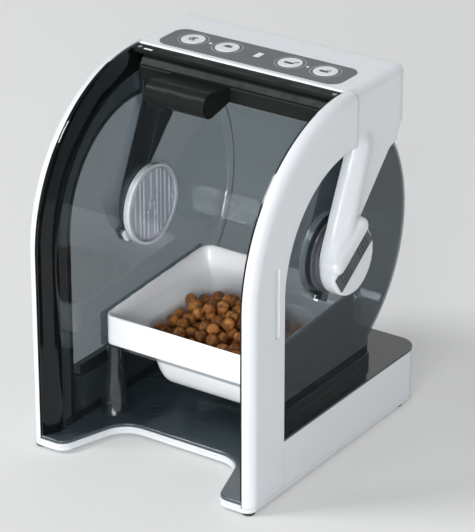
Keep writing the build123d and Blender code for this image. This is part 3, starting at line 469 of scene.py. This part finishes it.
SIDE = 125.0  # from the middle to the outside of the housing
REAR = 116.0
TOP = 358.0
ARM_TOP = 315.0  # below this the housing is open between its arms
ROOM_REAR, ROOM_TOP = 112.9, 355.0
POD_FACE = 130.0
POD_RADIUS = 34.5
PAST_POD = 36.0  # cuts in the pod's face reach past its edge
GRIP_FACE = 134.9
BAND_ANGLE = math.radians(34.0)
BAND_HALF = 9.6  # half the width of the diagonal band
GUARD_RADIUS = 136.6  # the web at the rear lies outside the round guard
COWL_LOW, COWL_HIGH = 136.4, 138.6
COWL_MIDDLE, COWL_HALF = 41.75, 10.25  # degrees round the hub
COWL_DEGREE = 2.4  # length of one degree round the cowl
HOUSING_SPACE = (-136.0, -36.0, 160.0), (136.0, 119.0, 360.5)

# The side of the housing with its arm: y, z and the radius of each corner.
CHEEK = (
    (23.0, TOP, 0.5), (REAR, TOP, 14.0), (REAR, ARM_TOP, 6.0), (100.0, 295.0, 3.0), (98.0, 286.0, 3.0),
    (84.0, 281.0, 10.0), (32.0, 227.0, 6.0), (36.0, 200.0, 3.0), (-18.0, 206.0, 3.0),
    (-13.6, 223.0, 30.0), (2.5, 257.0, 40.0), (15.3, 282.0, 30.0), (23.0, 300.0, 3.0))


def round_corner(corner, before, after, radius, steps=6):
    """The points of a rounded corner of an outline."""
    corner, before, after = (np.array(p, float) for p in (corner, before, after))
    to_before = (before - corner) / np.linalg.norm(before - corner)
    to_after = (after - corner) / np.linalg.norm(after - corner)
    half = math.acos(np.clip(to_before.dot(to_after), -1, 1)) / 2
    reach = radius / math.tan(half)
    inward = to_before + to_after
    centre = corner + inward / np.linalg.norm(inward) * radius / math.sin(half)
    start, end = corner + to_before * reach - centre, corner + to_after * reach - centre
    turn = math.atan2(start[0] * end[1] - start[1] * end[0], start.dot(end))
    points = []
    for step in range(steps + 1):
        c, s = math.cos(turn * step / steps), math.sin(turn * step / steps)
        points.append((centre[0] + start[0] * c - start[1] * s, centre[1] + start[0] * s + start[1] * c))
    return points


def cheek_outline():
    outline = []
    for number, (y, z, radius) in enumerate(CHEEK):
        before, after = CHEEK[number - 1], CHEEK[(number + 1) % len(CHEEK)]
        outline += round_corner((y, z), before[:2], after[:2], radius)
    return outline


def cover_field(x, y, z, plan_corner):
    """The hollow cover, and the flat arms under its sides."""
    outer = cut_round(polygon_distance(y, z, cheek_outline()), plan_corner, 5.0)
    outer = cut_round(outer, x - SIDE, 5.0)
    outer = both(outer, cut_round(x - SIDE, z - TOP, 13.0), cut_round(y - REAR, z - TOP, 13.0))
    room = both(cut_round(x - ARM_INSIDE, y - ROOM_REAR, 14.0), cut_round(y - ROOM_REAR, z - ROOM_TOP, 10.5))
    between_arms = both(x - ARM_INSIDE, z - ARM_TOP)
    return both(outer, -room, -between_arms)


def thumb_grip(x, along, across):
    """Long raised grip above the pod's diagonal band."""
    off_line = np.hypot(np.maximum(np.abs(along - 3.0) - 23.0, 0), across - 18.6)
    return both(cut_round(off_line - 8.9, slab(x, ARM_INSIDE, 135.0), 6.0), BAND_HALF - across)


def pod_recesses(x, across, off_hub):
    """Bed of the dark grille, the flat face below it, and the hollows for the hub and its shaft."""
    grille_bed = both(np.abs(across) - BAND_HALF, 129.2 - x, off_hub - PAST_POD)
    lower_face = both(across + BAND_HALF, 129.5 - x, off_hub - PAST_POD)
    hub_room = both(off_hub - 31.0, 114.8 - x, x - 127.0)
    shaft_hole = both(off_hub - 24.8, x - 120.0)
    return either(grille_bed, lower_face, hub_room, shaft_hole)


def rear_wall(x, y, z, off_hub, plan_corner):
    """Curved cowl over the round guard, and the web between the cowl and the cover."""
    angle = np.degrees(np.arctan2(z - HUB_Z, y - HUB_Y))
    cowl_ends = (np.abs(angle - COWL_MIDDLE) - COWL_HALF) * COWL_DEGREE
    cowl = both(slab(off_hub, COWL_LOW, COWL_HIGH), cowl_ends, x - 107.3)
    web = block(x, y, z, (-121.0, 100.0, 287.5), (121.0, REAR, 318.0))
    inner_corner = cut_round(x - ARM_INSIDE, y - 113.4, 14.0)
    rise = 0.97
    lower_edge = (287.5 + (x - 105.0) * rise - z) / math.hypot(1.0, rise)
    return either(cowl, both(web, plan_corner, -inner_corner, lower_edge, GUARD_RADIUS - off_hub))


def housing_field(x, y, z):
    """The top housing with both arms, their ridges and pods; both sides are alike."""
    x = np.abs(x)
    off_hub = np.hypot(y - HUB_Y, z - HUB_Z)
    along = (y - HUB_Y) * math.cos(BAND_ANGLE) + (z - HUB_Z) * math.sin(BAND_ANGLE)
    across = -(y - HUB_Y) * math.sin(BAND_ANGLE) + (z - HUB_Z) * math.cos(BAND_ANGLE)
    plan_corner = cut_round(x - SIDE, y - REAR, 20.0)
    shell = cover_field(x, y, z, plan_corner)
    ridge = tapered_rod(x, y, z, (114.5, 38.0, 300.0), (118.5, -3.0, 204.0), 13.5, 14.0)
    shell = join_round(shell, both(ridge, ARM_INSIDE - x), 6.0)
    pod = cut_round(off_hub - POD_RADIUS, slab(x, ARM_INSIDE, POD_FACE), 3.5)
    shell = join_round(shell, pod, 5.0)
    valley = tapered_rod(x, y, z, (136.0, 30.0, 231.0), (137.5, -7.0, 200.0), 6.5, 3.0)
    shell = -join_round(-shell, valley, 4.0)
    shell = join_round(shell, thumb_grip(x, along, across), 2.0)
    shell = both(shell, -pod_recesses(x, across, off_hub), x - GRIP_FACE)
    front_strip = block(x, y, z, (-114.0, 17.0, 352.0), (114.0, 24.0, TOP))
    shell = either(shell, front_strip, rear_wall(x, y, z, off_hub, plan_corner))
    for button in BUTTON_X[2:]:
        button_hole = both(np.hypot(x - button, y - BUTTON_Y) - 12.6, 354.0 - z)
        shell = both(shell, -button_hole)
    return shell


def ceiling_nose_field(x, y, z):
    """Small rounded bar under the ceiling's front edge."""
    across = cut_round(slab(y, -1.0, 4.4), slab(z, 327.4, 343.0), 2.4)
    return both(across, slab(x, -100.5, 100.5))


piece("housing_with_arms", surface(housing_field, *HOUSING_SPACE, 1.7), arm_white,
      "frame", "white", "top_housing", "right_pod_cover", "left_pod_cover")
piece("ceiling_nose", surface(ceiling_nose_field, (-102.0, -3.0, 325.0), (102.0, 6.0, 345.0), 1.1),
      ceiling_black, "frame", "black")


# ---------------------------------------------------------------- bowl

BOWL_HALF_X, BOWL_HALF_Y, BOWL_Y = 88.0, 84.5, 3.5
BOWL_FRONT, BOWL_DEPTH = BOWL_Y - BOWL_HALF_Y, 2 * BOWL_HALF_Y
RIM_FRONT, RIM_RISE = 121.0, 10.0  # height of the rim in front, and how much it rises to the rear
SHELF = 102.0
SKIN = 3.0
SKIRT_LOW = 90.0
BOWL_CELL = 1.45
BOWL_SPACE = (-90.0, -84.0, 39.0), (90.0, 91.0, 133.0)

# The sloping border: how far inside the rim, and how far up from the shelf to the rim's height.
BORDER_IN = (0.0, 3.6, 6.0, 10.0, 16.0, 25.0, 34.0)
BORDER_UP = (1.0, 1.0, 0.55, 0.34, 0.18, 0.02, -0.15)
# The basin's wall and floor: how far inside the rim, and how high.
BASIN_IN = (18.0, 25.0, 29.0, 33.0, 38.0, 44.0, 52.0, 62.0)
BASIN_HEIGHT = (140.0, 105.0, 85.0, 69.0, 55.0, 47.0, 43.8, 43.0)


def bowl_inset(x, y, corner):
    """How far inside the bowl's outline a place is, with corners of this radius."""
    qx = np.abs(x) - BOWL_HALF_X + corner
    qy = np.abs(y - BOWL_Y) - BOWL_HALF_Y + corner
    return corner - np.hypot(np.maximum(qx, 0), np.maximum(qy, 0)) - np.minimum(np.maximum(qx, qy), 0)


def lower_of(first, second, blend):
    """The lower of two heights, with a round change between them."""
    near = np.clip((blend - np.abs(first - second)) / blend, 0, 1)
    return np.minimum(first, second) - near ** 2 * blend / 4


def bowl_top(x, y):
    """Height of the bowl's upper surface, and of its rim."""
    rim = RIM_FRONT + RIM_RISE * (y - BOWL_FRONT) / BOWL_DEPTH
    border = SHELF + np.interp(bowl_inset(x, y, 10.0), BORDER_IN, BORDER_UP) * (rim - SHELF)
    basin = np.interp(bowl_inset(x, y, 47.0), BASIN_IN, BASIN_HEIGHT)
    return lower_of(border, basin, 6.0), rim


def softened(heights):
    """Heights on a grid, three times made the mean of each place and its neighbours."""
    for axis in (0, 1, 0, 1, 0, 1):
        wider = np.pad(heights, [(1, 1) if a == axis else (0, 0) for a in range(3)], mode="edge")
        count = heights.shape[axis]
        heights = sum(wider.take(range(step, step + count), axis) for step in (0, 1, 2)) / 3
    return heights


def bowl_field(x, y, z):
    """The bowl: a skin under its upper surface, and an upright skirt under the rim."""
    top, rim = bowl_top(x, y)
    top = softened(top)
    along_x, along_y = np.gradient(top[:, :, 0])
    steepness = np.sqrt(1 + (along_x ** 2 + along_y ** 2) / BOWL_CELL ** 2)[:, :, None]
    over_top = (z - top) / steepness
    skin = both(over_top, -over_top - SKIN)
    edge = bowl_inset(x, y, 10.0)
    skirt = both(slab(edge, -1.0, 3.0), slab(z, SKIRT_LOW, rim), over_top)
    return both(either(skin, skirt), cut_round(-edge, z - rim, 2.2))


piece("feeding_bowl", surface(bowl_field, *BOWL_SPACE, BOWL_CELL), bowl_white, "bowl", "white", "food_bowl")


# ---------------------------------------------------------------- dry food in the bowl

BALL_RADIUS = 6.6
BALL_COUNT = 330
BALL_SETTLING = 0.93  # neighbours overlap a little, as the balls are lumpy
HEAP_X, HEAP_Y = -8.0, -2.0
HEAP_SLOPE = 0.42
PLACE_SEED = 7
TURN_SEED = 5
FULL_TURN = 6.28

# Directions from a ball's middle to the points where it may touch the basin.
BALL_TOUCHES = [(0.0, 0.0, 1.0)] + [
    (reach * math.cos(turn * math.pi / 4), reach * math.sin(turn * math.pi / 4), math.sqrt(1 - reach ** 2))
    for reach in (0.5, 0.85, 0.98) for turn in range(8)]


def kibble_places(radius, count, seed):
    """Places of balls heaped in the basin, each as low as it can lie, highest near the heap's middle."""
    rng = np.random.default_rng(seed)
    placed = np.zeros((0, 3))
    for _ in range(count):
        tries = rng.uniform((-66.0, -56.0), (66.0, 62.0), (90, 2))
        x, y = tries[:, :1], tries[:, 1:]
        height = np.max([bowl_top(x + radius * u, y + radius * v)[0][:, 0] + radius * rise
                         for u, v, rise in BALL_TOUCHES], axis=0)
        if len(placed):
            off = np.hypot(x - placed[:, 0], y - placed[:, 1])
            on_top = placed[:, 2] + np.sqrt(np.maximum(4 * radius ** 2 - off ** 2, 0))
            height = np.maximum(height, np.where(off < 2 * radius, on_top, -np.inf).max(axis=1))
        cost = height + HEAP_SLOPE * np.hypot(tries[:, 0] - HEAP_X, 1.1 * (tries[:, 1] - HEAP_Y))
        best = int(cost.argmin())
        placed = np.vstack([placed, (*tries[best], height[best])])
    return placed


def kibble_ball(name):
    """One lumpy ball of food, of radius 1."""
    mesh = bpy.data.meshes.new(name)
    shape = bmesh.new()
    bmesh.ops.create_icosphere(shape, subdivisions=2, radius=1.0)
    for vertex in shape.verts:
        x, y, z = vertex.co
        lump = math.sin(5.1 * x + 1.3) * math.sin(4.3 * y + 0.4) * math.sin(4.9 * z + 2.1)
        vertex.co *= 1.0 + 0.09 * lump + 0.03 * math.sin(9 * x + 7 * y + 8 * z)
    for face in shape.faces:
        face.smooth = True
    shape.to_mesh(mesh)
    shape.free()
    return bpy.data.objects.new(name, mesh)


def heap_tree(ball):
    """Geometry Nodes that put a ball on each point, turned and sized a little differently."""
    tree = bpy.data.node_groups.new("kibble heap", "GeometryNodeTree")
    tree.interface.new_socket("Geometry", in_out="INPUT", socket_type="NodeSocketGeometry")
    size = tree.interface.new_socket("Ball Radius", in_out="INPUT", socket_type="NodeSocketFloat")
    seed = tree.interface.new_socket("Seed", in_out="INPUT", socket_type="NodeSocketInt")
    tree.interface.new_socket("Geometry", in_out="OUTPUT", socket_type="NodeSocketGeometry")

    def node(kind, inputs, **settings):
        made = tree.nodes.new(kind)
        for name, value in settings.items():
            setattr(made, name, value)
        for name, value in inputs.items():
            if isinstance(value, bpy.types.NodeSocket):
                tree.links.new(value, made.inputs[name])
            else:
                made.inputs[name].default_value = value
        return made.outputs

    start = node("NodeGroupInput", {})
    spots = node("GeometryNodeMeshToPoints", {"Mesh": start["Geometry"]})
    source = node("GeometryNodeObjectInfo", {"Object": ball})
    turn = node("FunctionNodeRandomValue", {"Max": (FULL_TURN,) * 3, "Seed": start["Seed"]},
                data_type="FLOAT_VECTOR")
    vary = node("FunctionNodeRandomValue", {2: 0.92, 3: 1.06, "Seed": start["Seed"]}, data_type="FLOAT")
    scale = node("ShaderNodeMath", {0: vary[1], 1: start["Ball Radius"]}, operation="MULTIPLY")
    put = node("GeometryNodeInstanceOnPoints", {
        "Points": spots["Points"], "Instance": source["Geometry"], "Rotation": turn[0], "Scale": scale[0]})
    real = node("GeometryNodeRealizeInstances", {0: put["Instances"]})
    paint = node("GeometryNodeSetMaterial", {"Geometry": real[0], "Material": crust})
    node("NodeGroupOutput", {0: paint[0]})
    return tree, {size.identifier: BALL_RADIUS * MM, seed.identifier: TURN_SEED}


def kibble_heap():
    """The heap of food, as one plain mesh that rides with the bowl."""
    points = kibble_places(BALL_RADIUS * BALL_SETTLING, BALL_COUNT, PLACE_SEED) * MM
    places = mesh_object("kibble places", points.tolist(), [], crust)
    ball = kibble_ball("kibble ball")
    modifier = places.modifiers.new("heap", "NODES")
    modifier.node_group, inputs = heap_tree(ball)
    for identifier, value in inputs.items():
        modifier[identifier] = value
    bpy.context.view_layer.update()
    ready = places.evaluated_get(bpy.context.evaluated_depsgraph_get())
    heap = bpy.data.meshes.new_from_object(ready)
    heap.name = "kibble"
    places.modifiers.clear()
    bpy.data.objects.remove(places)
    bpy.data.objects.remove(ball)
    made = bpy.data.objects.new("kibble", heap)
    bpy.context.scene.collection.objects.link(made)
    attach(made, "bowl")


kibble_heap()


# ---------------------------------------------------------------- faces of the hubs

HUB_REACH = 38.0
HUB_LOW = (93.0, HUB_Y - HUB_REACH, HUB_Z - HUB_REACH)
HUB_HIGH = (100.4, HUB_Y + HUB_REACH, HUB_Z + HUB_REACH)
HUB_CELL = 0.8
CAP_RADIUS = 36.9
BARS_RADIUS = 34.6
CROSS_BARS = (-15.0, -7.5, 7.5, 15.0)

# Upright bars: place across the hub, width, lower end and upper end.
HUB_BARS = (
    (-27.0, 1.4, -30.0, 30.0), (-19.0, 1.6, -30.0, 30.0), (-13.0, 2.4, -34.0, 34.0), (-6.5, 1.4, -34.0, -4.0),
    (-1.5, 2.2, 5.0, 35.0), (4.0, 1.4, -35.0, -4.0), (8.5, 2.4, -34.0, 34.0), (14.0, 1.4, -34.0, 34.0),
    (21.0, 1.8, -30.0, 30.0), (28.0, 1.2, -24.0, 24.0))


def hub_face_field(x, y, z):
    """Clear cap: a shallow dome and its rim wall."""
    out = np.hypot(y - HUB_Y, z - HUB_Z)
    dome = both(slab(x - 93.7 - 0.0014 * out ** 2, 0.0, 1.3), out - CAP_RADIUS)
    wall = both(slab(out, 35.4, CAP_RADIUS), slab(x, 94.5, 99.2))
    return either(dome, wall)


def hub_bars_field(x, y, z):
    """Upright bars and short cross bars behind the cap, with a square in the middle."""
    u, v = y - HUB_Y, z - HUB_Z
    bars = slab(np.maximum(np.abs(u), np.abs(v)), 2.4, 4.2)
    for middle, width, low, high in HUB_BARS:
        bars = either(bars, both(slab(u, middle - width / 2, middle + width / 2), slab(v, low, high)))
    for height in CROSS_BARS:
        bars = either(bars, both(slab(v, height - 0.6, height + 0.6), np.abs(u) - 13.0))
    return both(bars, np.hypot(u, v) - BARS_RADIUS, slab(x, 96.6, 98.6))


right_face = surface(hub_face_field, HUB_LOW, HUB_HIGH, HUB_CELL)
right_bars = surface(hub_bars_field, HUB_LOW, HUB_HIGH, HUB_CELL)
piece("right_hub_face", right_face, milky_clear, "barrier", "clear", "right_hub_disc")
piece("left_hub_face", mirrored(*right_face), milky_clear, "barrier", "clear", "left_hub_disc")
piece("right_hub_bars", right_bars, bars_with_painted_highlight, "barrier", "clear")
piece("left_hub_bars", mirrored(*right_bars), bars_with_painted_highlight, "barrier", "clear")


# ---------------------------------------------------------------- icons on the buttons

ICON_LOW, ICON_HIGH = 358.8, 358.97  # thin sheets on the tops of the buttons


def ring_part(inner, outer, start, end, steps=14):
    """Outline of part of a ring, in degrees."""
    angles = [math.radians(start + (end - start) * i / steps) for i in range(steps + 1)]
    points = [(outer * math.cos(a), outer * math.sin(a)) for a in angles]
    return points + [(inner * math.cos(a), inner * math.sin(a)) for a in reversed(angles)]


def moved(outline, u, v, turn=0.0):
    c, s = math.cos(math.radians(turn)), math.sin(math.radians(turn))
    return [(u + a * c - b * s, v + a * s + b * c) for a, b in outline]


def icon_piece(number, *outlines):
    """Flat printed shapes on a button, from outlines about its middle."""
    points, faces = [], []
    for outline in outlines:
        first, count = len(points), len(outline)
        points += [((BUTTON_X[number - 1] + u) * MM, (BUTTON_Y + v) * MM, z * MM)
                   for z in (ICON_LOW, ICON_HIGH) for u, v in outline]
        under = range(first, first + count)
        over = range(first + count, first + 2 * count)
        faces += [tuple(reversed(under)), tuple(over)]
        faces += [(under[i - 1], under[i], over[i], over[i - 1]) for i in range(count)]
    made = mesh_object(f"button_icon_{number}", points, faces, icon_ink)
    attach(made, f"button_{number}")


dot_mark = ring_part(0.0, 2.2, 0, 360, 16)[:17]
bowl_mark = moved([(-5.5, 0.6), (-4.0, -3.4), (4.0, -3.4), (5.5, 0.6)], -0.5, -0.6)
arrow_mark = [(-0.7, 0.0), (-0.7, 3.0), (-2.0, 3.0), (0.0, 5.4), (2.0, 3.0), (0.7, 3.0), (0.7, 0.0)]
icon_piece(1, ring_part(3.2, 4.6, 30, 330), dot_mark)
icon_piece(2, moved(ring_part(0.0, 4.8, 10, 170), 0.0, -1.0), moved(ring_part(5.4, 6.2, 50, 130), 0.0, -1.0))
icon_piece(3, bowl_mark, moved(arrow_mark, 3.6, 0.6, -50.0))
icon_piece(4, bowl_mark, moved(ring_part(1.6, 2.6, 0, 180), 2.4, 1.0))


# ---------------------------------------------------------------- studio

PAPER, PAPER_GLOW, GLOW_SHARE = (0.80, 0.80, 0.797), (0.68, 0.68, 0.68), 0.3
FLOOR_FRONT, FLOOR_REAR, FLOOR_HALF = -6.0, 2.5, 7.0
SWEEP_RADIUS, SWEEP_STEPS, WALL_TOP = 1.5, 12, 6.0
AIR_COLOUR, AIR_STRENGTH = (0.97, 0.985, 1.0), 0.42
LIGHT_AIM = (0.0, 0.0, 0.2)
CAMERA_PLACE = (1.4278, -2.0867, 1.3445)
CAMERA_DIRECTION = (-0.508, 0.749, -0.425)
CAMERA_LENS, CAMERA_SENSOR = 201.0, 36.0
CAMERA_SHIFT = (-0.00485, 0.00904)


def studio_paper(name, colour, glow, share):
    """Pale matt paper; part of what the camera sees of it is its own even colour."""
    shade = Shade(name)
    body = shade.node("ShaderNodeBsdfPrincipled", {
        "Base Color": shade.blend(shade.noise(3.0), rgba(*(c * 0.99 for c in colour)), rgba(*colour)),
        "Roughness": 0.9,
        "Specular IOR Level": 0.2})
    even = shade.node("ShaderNodeEmission", {"Color": rgba(*glow), "Strength": 1.0})
    seen = shade.node("ShaderNodeLightPath", out="Is Camera Ray")
    return shade.finish(shade.node("ShaderNodeMixShader", {0: seen * share, 1: body, 2: even}))


def sweep_backdrop():
    """Floor that rises behind the feeder in one soft curve."""
    profile = [(FLOOR_FRONT, 0.0), (FLOOR_REAR, 0.0)]
    for step in range(1, SWEEP_STEPS + 1):
        angle = math.radians(90 * step / SWEEP_STEPS)
        profile.append((FLOOR_REAR + SWEEP_RADIUS * math.sin(angle), SWEEP_RADIUS * (1 - math.cos(angle))))
    profile.append((FLOOR_REAR + SWEEP_RADIUS, WALL_TOP))
    points = [(x, y, z) for x in (-FLOOR_HALF, FLOOR_HALF) for y, z in profile]
    count = len(profile)
    faces = [(i, i + count, i + count + 1, i + 1) for i in range(count - 1)]
    drop = mesh_object("backdrop", points, faces, studio_paper("studio paper", PAPER, PAPER_GLOW, GLOW_SHARE))
    shade_smooth(drop)


def soft_light(name, place, size, power, colour):
    data = bpy.data.lights.new(name, "AREA")
    data.shape = "RECTANGLE"
    data.size, data.size_y = size
    data.energy = power
    data.color = colour
    made = bpy.data.objects.new(name, data)
    made.location = place
    made.rotation_euler = (Vector(LIGHT_AIM) - Vector(place)).to_track_quat("-Z", "Y").to_euler()
    bpy.context.scene.collection.objects.link(made)


def studio_air():
    world = bpy.data.worlds.new("studio air")
    world.use_nodes = True
    background = world.node_tree.nodes["Background"]
    background.inputs["Color"].default_value = rgba(*AIR_COLOUR)
    background.inputs["Strength"].default_value = AIR_STRENGTH
    bpy.context.scene.world = world


def camera():
    data = bpy.data.cameras.new("camera")
    data.sensor_width = CAMERA_SENSOR
    data.lens = CAMERA_LENS
    data.shift_x, data.shift_y = CAMERA_SHIFT
    data.clip_start, data.clip_end = 0.05, 50.0
    made = bpy.data.objects.new("camera", data)
    made.location = CAMERA_PLACE
    made.rotation_euler = Vector(CAMERA_DIRECTION).to_track_quat("-Z", "Y").to_euler()
    bpy.context.scene.collection.objects.link(made)
    bpy.context.scene.camera = made


sweep_backdrop()
soft_light("key", (-2.9, -2.5, 4.4), (1.5, 1.5), 165.0, (0.98, 0.99, 1.0))
soft_light("front", (1.3, -3.9, 1.0), (2.4, 1.5), 128.0, (1.0, 1.0, 1.0))
studio_air()
camera()
bpy.context.scene.view_settings.view_transform = "Standard"
